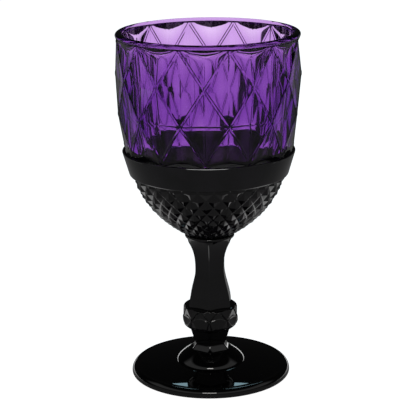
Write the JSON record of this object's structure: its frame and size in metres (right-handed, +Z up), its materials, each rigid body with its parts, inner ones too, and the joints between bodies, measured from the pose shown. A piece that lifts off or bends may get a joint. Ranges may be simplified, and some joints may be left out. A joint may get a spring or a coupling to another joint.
{
  "type": "goblet",
  "caption": "Stemmed goblet with a purple glass bowl cut in hollow diamonds, set in a black diamond-point holder on a hexagonal baluster stem and round foot.",
  "frame": {"origin": "centre of the foot's underside, on the surface that the goblet stands on", "axes": "+Z up along the axis of the stem and bowl; -Y is the side that the picture shows, where a corner of the stem faces"},
  "size_m": [0.0856, 0.0856, 0.165],
  "materials": {
    "purple_glass": "clear purple pressed glass, polished",
    "black_glass": "opaque black glass, polished"
  },
  "bodies": {
    "root": {"foot": "black_glass", "stem_spool": "black_glass", "knop": "black_glass", "stem_shaft": "black_glass", "merese": "black_glass", "diamond_cup": "black_glass", "collar_band": "black_glass", "bowl": "purple_glass"}
  },
  "joints": []
}
